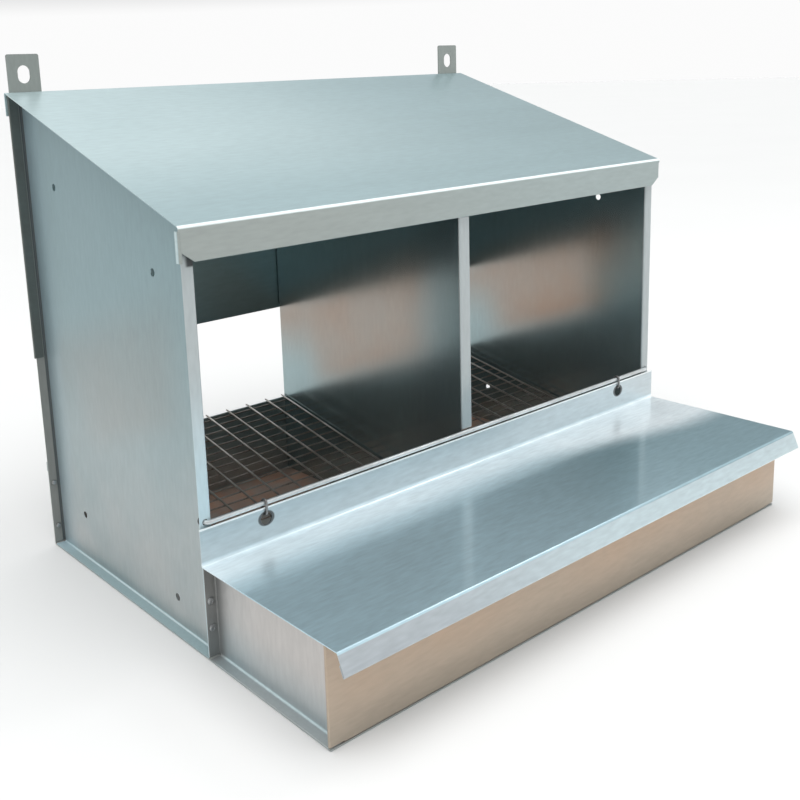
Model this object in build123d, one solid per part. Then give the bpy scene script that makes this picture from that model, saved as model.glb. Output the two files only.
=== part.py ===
from build123d import *
from math import atan2, cos, hypot, sin
import os

# A two-place chicken nesting box in folded galvanised sheet, in millimetres.
# X runs along the front, Y to the rear and Z up. While the pieces are made, Y is 0 at the rear face
# of the side panels; at the end all of them are moved so that the origin is under the middle of the box.

# Sheet steel and its folds
SHEET = 0.8
BEND = 1.0  # inside radius of a pressed bend
HEM_BEND = 0.2  # inside radius at the two corners of a hem
HEM_GAP = 0.6  # room inside a hem that is folded on itself
HEM_LENGTH = 9.0
SEAT = 0.05  # room between a sheet and the sheet it lies under
WRAP_GAP = 0.1  # room between a hem and the flange that it is folded round
WRAP_END = 1.2  # room beyond the flange's edge inside such a hem

# Nest body
BODY_WIDTH = 572.0  # outside of the two side walls
BODY_DEPTH = 290.0  # rear faces of the rear flanges to the faces of the front flanges
REAR_HEIGHT = 451.0
FRONT_HEIGHT = 352.0
FLANGE = 10.0  # reach of the outward flanges past the wall
ROOF_FRONT_OVERHANG = 6.3
ROOF_SIDE_OVERHANG = 4.0
FASCIA_HEIGHT = 27.5
FASCIA_CHAMFER_X = 11.0
FASCIA_CHAMFER_Z = 8.0
FASCIA_RETURN = 6.0
ROOF_REAR_FLANGE = 22.0
BACK_LOWER_EDGE = 196.0
BACK_TOP_ROOM = 1.6  # room between the top of the back panel and the roof above its folded ends

# Base and the divider between the two places
REAR_UPSTAND = 88.2
DIVIDER_X = -2.8
DIVIDER_FLANGE = 11.8
DIVIDER_FLANGE_END = 4.0  # distance from the end of a divider flange to what stops it

# Egg tray and its cover
TRAY_DEPTH = 155.0
TRAY_HEIGHT = 82.4
TRAY_FRONT_BOTTOM_FLANGE = 12.0
TRAY_FRONT_TOP_FLANGE = 8.0
TRAY_FLANGE_SIDE_ROOM = 1.5
COVER_GAP = 0.3
COVER_SIDE_OVERHANG = 3.0
COVER_FRONT_OVERHANG = 15.7
LIP_DROP = 16.0
LIP_FLARE = 7.3
COVER_UPSTAND = 30.8

# Hinge of the cover: a rod along the sill and two wire rings
ROD_RADIUS = 2.0
ROD_GAP = 0.2  # rod to the faces of the front flanges
ROD_BEND = 3.0  # centre line radius at the ends of the rod
ROD_TAIL = 3.8  # straight end of the rod behind the flange
ROD_HOLE_CLEARANCE = 0.2  # rod's inner bend to its hole in the front flange
ROD_ABOVE_UPSTAND = 1.2
CAP_RADIUS = 4.0
CAP_CLEARANCE = 0.05
CAP_GAP = 0.2
CAP_END = 1.0
RING_INSET = 55.0  # ring to the end of the rod
RING_WIRE_RADIUS = 1.0
RING_CLEARANCE = 0.05
RING_SLACK = 0.35  # upstand to the ring's front leg
RING_PLAY = 1.5  # ring's lower bow to the top of its hole
RING_HOLE_RADIUS = 5.5
RING_HOLE_BRIDGE = 4.1

# Wire mesh floors
MESH_LENGTH_WIRE = 2.2
MESH_CROSS_WIRE = 1.6
MESH_COLUMN_PITCH = 26.8
MESH_ROWS = 25
MESH_FIRST_WIRE = 24.2  # divider edge of the mesh to the first inner lengthwise wire
MESH_DIVIDER_ROOM = 1.3
MESH_WALL_ROOM = 4.2
MESH_FRONT_ROOM = 5.0
MESH_REAR_REACH = 0.9
MESH_SEAT = 0.15

# Hangers
HANGER_WIDTH = 31.5
HANGER_THICKNESS = 1.5
HANGER_RISE = 34.0  # top of the hanger above the roof's rear edge
HANGER_BELOW_FLANGE = 1.0
HANGER_EDGE_INSET = 5.5  # outer edge of the hanger to the roof's side edge
HANGER_CORNER = 2.0
SLOT_WIDTH = 12.0
SLOT_LENGTH = 16.5
SLOT_BELOW_TOP = 18.5

# Holes in the side walls, for bolting nests side by side
LINK_HOLE_RADIUS = 3.4
LINK_REAR_Y = 56.5
LINK_FRONT_Y = 227.5
LINK_REAR_LOW = 47.0
LINK_REAR_HIGH = 365.0
LINK_FRONT_LOW = 27.0
LINK_FRONT_HIGH = 308.0

# Rivets
RIVET_HEAD_RADIUS = 3.2
RIVET_HEAD_HEIGHT = 1.2
RIVET_RADIUS = 1.6
RIVET_TAIL_RADIUS = 2.5
RIVET_TAIL_HEIGHT = 1.8
RIVET_CLEARANCE = 0.05
RIVET_EDGE = 4.5  # rivet line to the outer edge of a side flange
TRAY_RIVET_LOW = 27.6
TRAY_RIVET_HIGH = 51.0
BASE_RIVET_LOW = 20.0
BASE_RIVET_HIGH = 66.0
BACK_RIVET_END = 25.0  # first and last divider rivet to the ends of the back panel
HANGER_RIVET_SPACING = 12.0
HANGER_RIVET_INSET = 13.5  # outer rivet to the hanger's outer edge
HANGER_RIVET_RISE = 12.0  # rivets to the lower edge of the hanger

# Places worked out from these sizes
FOLD = SHEET + BEND  # outside radius of a pressed bend
WALL_OUT = BODY_WIDTH / 2
WALL_IN = WALL_OUT - SHEET
FLANGE_OUT = WALL_OUT + FLANGE
ROOF_OUT = FLANGE_OUT + ROOF_SIDE_OVERHANG
RIVET_X = FLANGE_OUT - RIVET_EDGE
FRONT_Y = -BODY_DEPTH
FASCIA_Y = FRONT_Y - ROOF_FRONT_OVERHANG
ROOF_REAR_Y = 2 * SHEET
TRAY_Y = FRONT_Y - TRAY_DEPTH
ROOF_ANGLE = atan2(REAR_HEIGHT - FRONT_HEIGHT, ROOF_REAR_Y - FASCIA_Y)
HEM_WIDTH = 2 * SHEET + HEM_GAP
WRAP_DEPTH = 3 * SHEET + WRAP_GAP
COVER_TOP = TRAY_HEIGHT + COVER_GAP + SHEET
UPSTAND_TOP = COVER_TOP + COVER_UPSTAND
ROD_Y = FRONT_Y - ROD_RADIUS - ROD_GAP
ROD_Z = UPSTAND_TOP + ROD_ABOVE_UPSTAND + ROD_RADIUS
ROD_END_X = WALL_OUT + FLANGE / 2
ROD_INSIDE = ROD_BEND - ROD_RADIUS
ROD_HOLE = ROD_BEND - (ROD_INSIDE**2 - (ROD_INSIDE - ROD_GAP) ** 2) ** 0.5 + ROD_HOLE_CLEARANCE
RING_X = ROD_END_X - RING_INSET
RING_BORE = ROD_RADIUS + RING_CLEARANCE
UPSTAND_Y = ROD_Y - RING_BORE + RING_SLACK
RING_HOLE_Z = UPSTAND_TOP - RING_HOLE_BRIDGE - RING_HOLE_RADIUS
MESH_THICKNESS = MESH_LENGTH_WIRE + MESH_CROSS_WIRE
DIVIDER_LEFT = DIVIDER_X - SHEET / 2
DIVIDER_RIGHT = DIVIDER_X + SHEET / 2
HANGER_X = ROOF_OUT - HANGER_EDGE_INSET - HANGER_WIDTH / 2
HANGER_BOTTOM = REAR_HEIGHT - ROOF_REAR_FLANGE - HANGER_BELOW_FLANGE
HANGER_REAR_Y = ROOF_REAR_Y + HANGER_THICKNESS
HANGER_TOP = REAR_HEIGHT + HANGER_RISE
SLOT_Z = HANGER_TOP - SLOT_BELOW_TOP


def roof_under(y):
    """Height of the roof's lower face at a given Y."""
    top = REAR_HEIGHT - (ROOF_REAR_Y - y) * sin(ROOF_ANGLE) / cos(ROOF_ANGLE)
    return top - SHEET / cos(ROOF_ANGLE)


def left_of(start, end):
    """Unit normal to the left of the line from start to end."""
    length = hypot(end[0] - start[0], end[1] - start[1])
    return ((start[1] - end[1]) / length, (end[0] - start[0]) / length)


def offset_points(points, distance):
    """The points of an open line moved to its left, with mitred corners."""
    normals = [left_of(a, b) for a, b in zip(points, points[1:])]
    before = [normals[0]] + normals
    after = normals + [normals[-1]]
    moved = []
    for point, m, n in zip(points, before, after):
        share = distance / (1 + m[0] * n[0] + m[1] * n[1])
        moved.append((point[0] + share * (m[0] + n[0]), point[1] + share * (m[1] + n[1])))
    return moved


def folded_sheet(points, inside_radii):
    """Section of a folded sheet that lies to the left of the given line, with its folds rounded."""
    near_radii = []
    far_radii = []
    for a, b, c, radius in zip(points, points[1:], points[2:], inside_radii):
        m = left_of(a, b)
        n = left_of(b, c)
        turns_left = m[0] * n[1] - m[1] * n[0] > 0
        near_radii.append(radius + SHEET if turns_left else radius)
        far_radii.append(radius if turns_left else radius + SHEET)
    far = offset_points(points, SHEET)
    outline = FilletPolyline(*points, radius=near_radii)
    outline += Line(points[-1], far[-1])
    outline += FilletPolyline(*far, radius=far_radii)
    outline += Line(far[0], points[0])
    return make_face(outline)


def edge_flange(origin, outward, along, length, reach):
    """Rounded bend and flat flange on a sheet's edge. The sheet ends at origin, outward points over the
    edge, and the flange turns towards along x outward until it reaches that far from the sheet's far face."""
    outline = CenterArc((0, FOLD), FOLD, -90, 90)
    outline += Polyline((FOLD, FOLD), (FOLD, reach), (BEND, reach), (BEND, FOLD))
    outline += CenterArc((0, FOLD), BEND, -90, 90)
    outline += Line((0, SHEET), (0, 0))
    return extrude(Plane(origin=origin, x_dir=outward, z_dir=along) * make_face(outline), amount=length)


def pan_panel(corners, flanges, inner_x):
    """Flat wall with flanges turned towards -X. The corners (Y, Z) are those of the flanges' outer faces,
    in turn round the wall; each edge has a list of flanges (start, end, reach), measured along the edge."""
    closed = [corners[-1]] + corners + corners[:1]
    inset = offset_points(closed, FOLD)[1:-1]
    plane = Plane(origin=(inner_x, 0, 0), x_dir=(0, 1, 0), z_dir=(1, 0, 0))
    panel = extrude(plane * make_face(Polyline(*inset, close=True)), amount=-SHEET)
    for start, end, strips in zip(inset, inset[1:] + inset[:1], flanges):
        length = hypot(end[0] - start[0], end[1] - start[1])
        along = ((end[0] - start[0]) / length, (end[1] - start[1]) / length)
        for first, last, reach in strips:
            low = 0 if first is None else first
            high = length if last is None else last
            origin = (inner_x, start[0] + along[0] * low, start[1] + along[1] * low)
            outward = (0, along[1], -along[0])
            panel += edge_flange(origin, outward, (0, *along), high - low, reach)
    return panel


def bar_along_y(x, y_low, y_high, z, radius):
    """Round bar or drill along Y."""
    plane = Plane(origin=(x, y_low, z), x_dir=(1, 0, 0), z_dir=(0, 1, 0))
    return extrude(plane * Circle(radius), amount=y_high - y_low)


def rivet(x, face_y, z, side, grip):
    """Rivet along Y whose domed head sits on face_y and points to side, with its tail behind the grip."""
    tail = -grip - RIVET_TAIL_HEIGHT
    dome_radius = (RIVET_HEAD_RADIUS**2 + RIVET_HEAD_HEIGHT**2) / (2 * RIVET_HEAD_HEIGHT)
    half_angle = atan2(RIVET_HEAD_HEIGHT, RIVET_HEAD_RADIUS)
    dome_middle = (
        dome_radius * sin(half_angle),
        RIVET_HEAD_HEIGHT - dome_radius * (1 - cos(half_angle)),
    )
    outline = ThreePointArc((0, RIVET_HEAD_HEIGHT), dome_middle, (RIVET_HEAD_RADIUS, 0))
    outline += Polyline(
        (RIVET_HEAD_RADIUS, 0),
        (RIVET_RADIUS, 0),
        (RIVET_RADIUS, -grip),
        (RIVET_TAIL_RADIUS, -grip),
        (RIVET_TAIL_RADIUS, tail),
        (0, tail),
        (0, RIVET_HEAD_HEIGHT),
    )
    body = revolve(Plane.XZ * make_face(outline), axis=Axis.Z)
    return Plane(origin=(x, face_y, z), x_dir=(1, 0, 0), z_dir=(0, side, 0)) * body


def drill(sheet, places, joint_y):
    """Clearance holes for rivets along Y at the given (X, Z) places, through the sheets near joint_y."""
    reach = HANGER_THICKNESS + 3 * SHEET
    for x, z in places:
        sheet -= bar_along_y(x, joint_y - reach, joint_y + reach, z, RIVET_RADIUS + RIVET_CLEARANCE)
    return sheet


pieces = {}

# Rivet places, as (X, Z)
tray_rivets_left = [(-RIVET_X, TRAY_RIVET_LOW), (-RIVET_X, TRAY_RIVET_HIGH)]
base_rivets_left = [(-RIVET_X, BASE_RIVET_LOW), (-RIVET_X, BASE_RIVET_HIGH)]
divider_flange_x = (DIVIDER_LEFT + FOLD + DIVIDER_RIGHT + DIVIDER_FLANGE) / 2
back_top = roof_under(SHEET - WRAP_DEPTH) - BACK_TOP_ROOM
back_low_z = BACK_LOWER_EDGE + BACK_RIVET_END
back_high_z = back_top - BACK_RIVET_END
back_rivet_heights = (back_low_z, (back_low_z + back_high_z) / 2, back_high_z)
back_divider_rivets = [(divider_flange_x, z) for z in back_rivet_heights]
base_divider_rivets = [(divider_flange_x, z) for z in (BASE_RIVET_LOW, BASE_RIVET_HIGH)]
hanger_outer_x = HANGER_X + HANGER_WIDTH / 2 - HANGER_RIVET_INSET
hanger_rivet_z = HANGER_BOTTOM + HANGER_RIVET_RISE
hanger_inner_x = hanger_outer_x - HANGER_RIVET_SPACING
hanger_rivets_right = [(hanger_inner_x, hanger_rivet_z), (hanger_outer_x, hanger_rivet_z)]
hanger_rivets_all = hanger_rivets_right + [(-x, z) for x, z in hanger_rivets_right]

# Base panel: a flat sheet whose rear edge is folded up and hemmed to the rear
hem_inside = REAR_UPSTAND - SHEET
base_line = [
    (TRAY_Y, 0),
    (SHEET, 0),
    (SHEET, hem_inside),
    (SHEET + HEM_GAP, hem_inside),
    (SHEET + HEM_GAP, hem_inside - HEM_LENGTH),
]
base_section = folded_sheet(base_line, [BEND, HEM_BEND, HEM_BEND])
base_panel = extrude(Plane.YZ * base_section, amount=FLANGE_OUT, both=True)
base_rivets_all = base_rivets_left + [(-x, z) for x, z in base_rivets_left]
pieces["base_panel"] = drill(base_panel, base_rivets_all + base_divider_rivets, 0)

# Side panels: pans with their four flanges turned outward, standing on the base
side_corners = [
    (FRONT_Y, SHEET),
    (0, SHEET),
    (0, roof_under(0) - SEAT),
    (FRONT_Y, roof_under(FRONT_Y) - SEAT),
]
side_reach = SHEET + FLANGE
side_panel = pan_panel(side_corners, [[(None, None, side_reach)]] * 4, -WALL_IN)
side_panel = drill(side_panel, base_rivets_left, 0)
side_panel = drill(side_panel, tray_rivets_left, FRONT_Y)
side_panel -= bar_along_y(-ROD_END_X, FRONT_Y - SHEET, FRONT_Y + 2 * SHEET, ROD_Z, ROD_HOLE)
link_holes = [
    (-LINK_REAR_Y, LINK_REAR_LOW),
    (-LINK_REAR_Y, LINK_REAR_HIGH),
    (-LINK_FRONT_Y, LINK_FRONT_LOW),
    (-LINK_FRONT_Y, LINK_FRONT_HIGH),
]
for y, z in link_holes:
    plane = Plane(origin=(-WALL_OUT - SHEET, y, z), x_dir=(0, 1, 0), z_dir=(1, 0, 0))
    side_panel -= extrude(plane * Circle(LINK_HOLE_RADIUS), amount=3 * SHEET)
pieces["left_side_panel"] = side_panel
pieces["right_side_panel"] = mirror(side_panel, about=Plane.YZ)

# Divider: a wall between the places, flanged to one side at the base, the back, the roof and the front
divider_corners = side_corners
rear_edge = FOLD + SHEET
rear_low_end = hem_inside - HEM_LENGTH - DIVIDER_FLANGE_END
rear_high_start = BACK_LOWER_EDGE + DIVIDER_FLANGE_END
front_end = ROD_Z + ROD_RADIUS
front_top = roof_under(FRONT_Y) - SEAT - FOLD
divider_reach = SHEET + DIVIDER_FLANGE
divider_flanges = [
    [(None, None, divider_reach)],
    [(None, rear_low_end - rear_edge, divider_reach), (rear_high_start - rear_edge, None, divider_reach)],
    [(None, None, divider_reach)],
    [(None, front_top - front_end, divider_reach)],
]
divider = mirror(pan_panel(divider_corners, divider_flanges, -DIVIDER_LEFT), about=Plane.YZ)
pieces["divider_panel"] = drill(divider, back_divider_rivets + base_divider_rivets, 0)

# Upper back panel: its ends are folded round the rear flanges of the side panels
wrap_out = FLANGE_OUT + WRAP_END + SHEET
wrap_in = wrap_out - HEM_LENGTH
back_front_y = SHEET - WRAP_DEPTH
back_line = [
    (wrap_in, back_front_y),
    (wrap_out, back_front_y),
    (wrap_out, SHEET),
    (-wrap_out, SHEET),
    (-wrap_out, back_front_y),
    (-wrap_in, back_front_y),
]
back_section = Pos(0, 0, BACK_LOWER_EDGE) * folded_sheet(back_line, [HEM_BEND] * 4)
back_panel = extrude(back_section, amount=back_top - BACK_LOWER_EDGE)
pieces["back_panel"] = drill(back_panel, back_divider_rivets + hanger_rivets_all, 0)

# Roof: a sloping sheet with a rear flange and a hemmed fascia, whose lower corners are cut off and whose
# ends turn back, the left one over the whole height of the fascia
fascia_low = FRONT_HEIGHT - FASCIA_HEIGHT
roof_line = [
    (ROOF_REAR_Y, REAR_HEIGHT - ROOF_REAR_FLANGE),
    (ROOF_REAR_Y, REAR_HEIGHT),
    (FASCIA_Y, FRONT_HEIGHT),
    (FASCIA_Y, fascia_low),
    (FASCIA_Y + HEM_WIDTH, fascia_low),
    (FASCIA_Y + HEM_WIDTH, fascia_low + HEM_LENGTH),
]
roof_section = folded_sheet(roof_line, [BEND, BEND, HEM_BEND, HEM_BEND])
roof = extrude(Plane.YZ * roof_section, amount=ROOF_OUT, both=True)
fascia_end = ROOF_OUT - FOLD
fold_low = FRONT_HEIGHT - 2 * FOLD
corner_top = fascia_low + FASCIA_CHAMFER_Z
end_cut_points = [
    (fascia_end, fold_low),
    (ROOF_OUT + SHEET, fold_low),
    (ROOF_OUT + SHEET, fascia_low - SHEET),
    (fascia_end - FASCIA_CHAMFER_X, fascia_low - SHEET),
    (fascia_end - FASCIA_CHAMFER_X, fascia_low),
    (fascia_end, corner_top),
]
end_cut_plane = Plane(origin=(0, FASCIA_Y - SHEET, 0), x_dir=(1, 0, 0), z_dir=(0, -1, 0))
end_cut_face = end_cut_plane * make_face(Polyline(*end_cut_points, close=True))
end_cut = extrude(end_cut_face, amount=-HEM_WIDTH - 2 * SHEET)


def end_return(low):
    """Strip turned back from the right end of the fascia, from the given height up to the roof's fold."""
    return edge_flange((fascia_end, FASCIA_Y, low), (1, 0, 0), (0, 0, 1), fold_low - low, FASCIA_RETURN)


roof = roof - end_cut + end_return(corner_top)
roof = roof - mirror(end_cut, about=Plane.YZ) + mirror(end_return(fascia_low), about=Plane.YZ)
pieces["roof_panel"] = drill(roof, hanger_rivets_all, 0)

# Hangers: thick plates riveted behind the roof's rear flange, each with an upright slot
hanger_height = HANGER_TOP - HANGER_BOTTOM
hanger_plane = Plane(
    origin=(HANGER_X, HANGER_REAR_Y, HANGER_BOTTOM + hanger_height / 2), x_dir=(1, 0, 0), z_dir=(0, -1, 0)
)
hanger_face = RectangleRounded(HANGER_WIDTH, hanger_height, HANGER_CORNER)
hanger_face -= Pos(0, SLOT_Z - HANGER_BOTTOM - hanger_height / 2) * SlotOverall(SLOT_LENGTH, SLOT_WIDTH, 90)
hanger = drill(extrude(hanger_plane * hanger_face, amount=HANGER_THICKNESS), hanger_rivets_right, 0)
pieces["hanger_right"] = hanger
pieces["hanger_left"] = mirror(hanger, about=Plane.YZ)

# Tray sides: pans in line with the side panels, riveted to their front flanges
tray_front_in = TRAY_Y + SHEET
tray_corners = [
    (tray_front_in, SHEET),
    (FRONT_Y, SHEET),
    (FRONT_Y, TRAY_HEIGHT),
    (tray_front_in, TRAY_HEIGHT),
]
tray_front_reach = side_reach - WRAP_END
tray_flanges = [
    [(None, None, side_reach)],
    [(None, None, side_reach)],
    [(None, None, side_reach)],
    [(None, None, tray_front_reach)],
]
tray_side = drill(pan_panel(tray_corners, tray_flanges, -WALL_IN), tray_rivets_left, FRONT_Y)
pieces["tray_side_left"] = tray_side
pieces["tray_side_right"] = mirror(tray_side, about=Plane.YZ)

# Tray front: flanged inward at the base and the top, its ends folded round the tray sides' flanges
tray_wrap_out = FLANGE_OUT + SHEET
tray_wrap_in = tray_wrap_out - HEM_LENGTH
tray_wrap_y = TRAY_Y + WRAP_DEPTH
tray_line = [
    (-tray_wrap_in, tray_wrap_y),
    (-tray_wrap_out, tray_wrap_y),
    (-tray_wrap_out, TRAY_Y),
    (tray_wrap_out, TRAY_Y),
    (tray_wrap_out, tray_wrap_y),
    (tray_wrap_in, tray_wrap_y),
]
tray_low = SHEET + FOLD
tray_high = TRAY_HEIGHT - FOLD
tray_section = Pos(0, 0, tray_low) * folded_sheet(tray_line, [HEM_BEND] * 4)
tray_front = extrude(tray_section, amount=tray_high - tray_low)
tray_inside = WALL_IN - TRAY_FLANGE_SIDE_ROOM
tray_front += edge_flange(
    (-tray_inside, TRAY_Y, tray_low), (0, 0, -1), (1, 0, 0), 2 * tray_inside, TRAY_FRONT_BOTTOM_FLANGE
)
tray_front += edge_flange(
    (tray_inside, TRAY_Y, tray_high), (0, 0, 1), (-1, 0, 0), 2 * tray_inside, TRAY_FRONT_TOP_FLANGE
)
pieces["tray_front_panel"] = tray_front

# Tray cover: a lid with a rear upstand, two ring holes in it, and a slanted front lip with a hem
lip_fold = (TRAY_Y - COVER_FRONT_OVERHANG, COVER_TOP)
lip_end = (lip_fold[0] - LIP_FLARE, lip_fold[1] - LIP_DROP)
lip_normal = left_of(lip_fold, lip_end)
hem_start = (lip_end[0] + HEM_WIDTH * lip_normal[0], lip_end[1] + HEM_WIDTH * lip_normal[1])
hem_end = (hem_start[0] - HEM_LENGTH * lip_normal[1], hem_start[1] + HEM_LENGTH * lip_normal[0])
cover_line = [
    (UPSTAND_Y, UPSTAND_TOP),
    (UPSTAND_Y, COVER_TOP),
    lip_fold,
    lip_end,
    hem_start,
    hem_end,
]
cover_out = FLANGE_OUT + COVER_SIDE_OVERHANG
cover_section = folded_sheet(cover_line, [BEND, BEND, HEM_BEND, HEM_BEND])
cover = extrude(Plane.YZ * cover_section, amount=cover_out, both=True)
for x in (-RING_X, RING_X):
    cover -= bar_along_y(x, UPSTAND_Y - SHEET, UPSTAND_Y + 2 * SHEET, RING_HOLE_Z, RING_HOLE_RADIUS)
pieces["tray_cover"] = cover

# Hinge rod: its ends are bent back through the front flanges of the side panels
rod_tail_y = FRONT_Y + SHEET + ROD_TAIL
rod_points = [
    (-ROD_END_X, rod_tail_y, ROD_Z),
    (-ROD_END_X, ROD_Y, ROD_Z),
    (ROD_END_X, ROD_Y, ROD_Z),
    (ROD_END_X, rod_tail_y, ROD_Z),
]
rod_path = FilletPolyline(*rod_points, radius=ROD_BEND)
rod_start = Plane(origin=rod_points[0], x_dir=(1, 0, 0), z_dir=(0, -1, 0))
pieces["hinge_rod"] = sweep(rod_start * Circle(ROD_RADIUS), path=rod_path)

# Rod caps: blind caps pushed on the rod's ends behind the flanges
caps = []
for x in (-ROD_END_X, ROD_END_X):
    cap_y = FRONT_Y + SHEET + CAP_GAP
    bore_end = rod_tail_y + CAP_GAP
    cap = bar_along_y(x, cap_y, bore_end + CAP_END, ROD_Z, CAP_RADIUS)
    cap = fillet(cap.edges().filter_by(GeomType.CIRCLE).sort_by(Axis.Y)[-1], CAP_END)
    cap -= bar_along_y(x, cap_y, bore_end, ROD_Z, ROD_RADIUS + CAP_CLEARANCE)
    caps.append(cap.solid())
pieces["rod_caps"] = Compound(children=caps)

# Hinge rings: closed wire links over the rod and through the holes of the cover's upstand
ring_centre_radius = RING_BORE + RING_WIRE_RADIUS
ring_low_z = RING_HOLE_Z + RING_HOLE_RADIUS - RING_PLAY + RING_BORE
ring_plane = Plane(origin=(-RING_X, ROD_Y, 0), x_dir=(0, 1, 0), z_dir=(1, 0, 0))
ring_line = Line((ring_centre_radius, ring_low_z), (ring_centre_radius, ROD_Z))
ring_line += CenterArc((0, ROD_Z), ring_centre_radius, 0, 180)
ring_line += Line((-ring_centre_radius, ROD_Z), (-ring_centre_radius, ring_low_z))
ring_line += CenterArc((0, ring_low_z), ring_centre_radius, 180, 180)
ring_start = Plane(origin=(-RING_X, ROD_Y + ring_centre_radius, ring_low_z), x_dir=(1, 0, 0), z_dir=(0, 0, 1))
ring = sweep(ring_start * Circle(RING_WIRE_RADIUS), path=(ring_plane * ring_line).wire())
pieces["hinge_ring_left"] = ring
pieces["hinge_ring_right"] = mirror(ring, about=Plane.YZ)

# Mesh floors: welded wire mats that lie on the rear upstand and on the tray front's lower flange
mesh_rear = (SHEET + HEM_GAP / 2, REAR_UPSTAND + MESH_SEAT)
mesh_front = (tray_front_in + MESH_FRONT_ROOM, 2 * SHEET + MESH_SEAT)
mesh_angle = atan2(mesh_rear[1] - mesh_front[1], mesh_rear[0] - mesh_front[0])
mesh_run = hypot(mesh_rear[1] - mesh_front[1], mesh_rear[0] - mesh_front[0]) + MESH_REAR_REACH


def floor_mesh(divider_edge, wall_edge):
    """Mat of crossed wires from the divider to the side wall, as one plate with a hole for each gap."""
    side = 1 if wall_edge > divider_edge else -1
    width = abs(wall_edge - divider_edge)
    columns = [MESH_LENGTH_WIRE / 2]
    place = MESH_FIRST_WIRE
    while place < width - MESH_LENGTH_WIRE * 2:
        columns.append(place)
        place += MESH_COLUMN_PITCH
    columns.append(width - MESH_LENGTH_WIRE / 2)
    row_pitch = (mesh_run - MESH_CROSS_WIRE) / MESH_ROWS
    gaps = []
    for left, right in zip(columns, columns[1:]):
        x_low = left + MESH_LENGTH_WIRE / 2
        x_high = right - MESH_LENGTH_WIRE / 2
        for row in range(MESH_ROWS):
            y_low = MESH_CROSS_WIRE + row * row_pitch
            y_high = (row + 1) * row_pitch
            gaps.append([(x_low, y_low), (x_high, y_low), (x_high, y_high), (x_low, y_high)])
    outline = [(0, 0), (width, 0), (width, mesh_run), (0, mesh_run)]
    plane = Plane(
        origin=(divider_edge, *mesh_front), x_dir=(1, 0, 0), z_dir=(0, -sin(mesh_angle), cos(mesh_angle))
    )

    def loop(points):
        return Wire.make_polygon([plane.from_local_coords((side * x, y)) for x, y in points])

    face = Face(loop(outline), [loop(gap) for gap in gaps])
    return Solid.extrude(face, plane.z_dir * MESH_THICKNESS)


pieces["floor_mesh_left"] = floor_mesh(DIVIDER_LEFT - MESH_DIVIDER_ROOM, -WALL_IN + MESH_WALL_ROOM)
pieces["floor_mesh_right"] = floor_mesh(DIVIDER_RIGHT + MESH_DIVIDER_ROOM, WALL_IN - MESH_WALL_ROOM)

# Rivets, in groups by what they hold
tray_rivets_all = tray_rivets_left + [(-x, z) for x, z in tray_rivets_left]
divider_rivets_all = back_divider_rivets + base_divider_rivets
rivet_groups = {
    "tray_rivets": [rivet(x, FRONT_Y - SHEET, z, -1, 2 * SHEET) for x, z in tray_rivets_all],
    "base_rivets": [rivet(x, SHEET, z, 1, 2 * SHEET) for x, z in base_rivets_all],
    "divider_rivets": [rivet(x, SHEET, z, 1, 2 * SHEET) for x, z in divider_rivets_all],
    "hanger_rivets": [
        rivet(x, HANGER_REAR_Y, z, 1, 2 * SHEET + HANGER_THICKNESS) for x, z in hanger_rivets_all
    ],
}
for name, rivets in rivet_groups.items():
    pieces[name] = Compound(children=[one.solid() for one in rivets])

# All pieces are moved so that the origin is under the middle of the whole box
boxes = [piece.bounding_box() for piece in pieces.values()]
middle_y = (min(box.min.Y for box in boxes) + max(box.max.Y for box in boxes)) / 2
print("moved along Y by", round(-middle_y, 4))
os.makedirs("parts", exist_ok=True)
for name, piece in pieces.items():
    export_step(Pos(0, -middle_y, 0) * piece, f"parts/{name}.step")
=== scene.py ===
import bpy
import numpy as np
from mathutils import Matrix, Vector


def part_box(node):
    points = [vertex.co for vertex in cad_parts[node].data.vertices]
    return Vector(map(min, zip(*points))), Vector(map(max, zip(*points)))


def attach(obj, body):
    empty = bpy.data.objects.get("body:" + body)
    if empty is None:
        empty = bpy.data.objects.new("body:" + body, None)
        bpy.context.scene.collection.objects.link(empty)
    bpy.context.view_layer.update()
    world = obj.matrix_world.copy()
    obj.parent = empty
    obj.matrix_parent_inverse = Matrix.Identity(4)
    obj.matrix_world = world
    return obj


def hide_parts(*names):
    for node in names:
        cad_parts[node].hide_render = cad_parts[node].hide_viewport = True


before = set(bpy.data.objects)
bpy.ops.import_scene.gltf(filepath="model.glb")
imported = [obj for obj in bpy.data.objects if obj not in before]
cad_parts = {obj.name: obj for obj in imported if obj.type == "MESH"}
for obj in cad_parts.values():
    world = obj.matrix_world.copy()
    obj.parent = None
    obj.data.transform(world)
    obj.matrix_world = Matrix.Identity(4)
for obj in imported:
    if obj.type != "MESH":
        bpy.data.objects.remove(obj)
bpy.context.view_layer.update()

# Base panel: one galvanised sheet that closes the bottom of nest and tray. Its rear edge is folded up and
# hemmed, and carries the mesh floors. Litter has left a brown film of dust on its upper face.
mm = 0.001
sheet = 0.8 * mm
hem = 2.2 * mm
base_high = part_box("base_panel")[1]
upstand_face = base_high.y - hem


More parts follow.
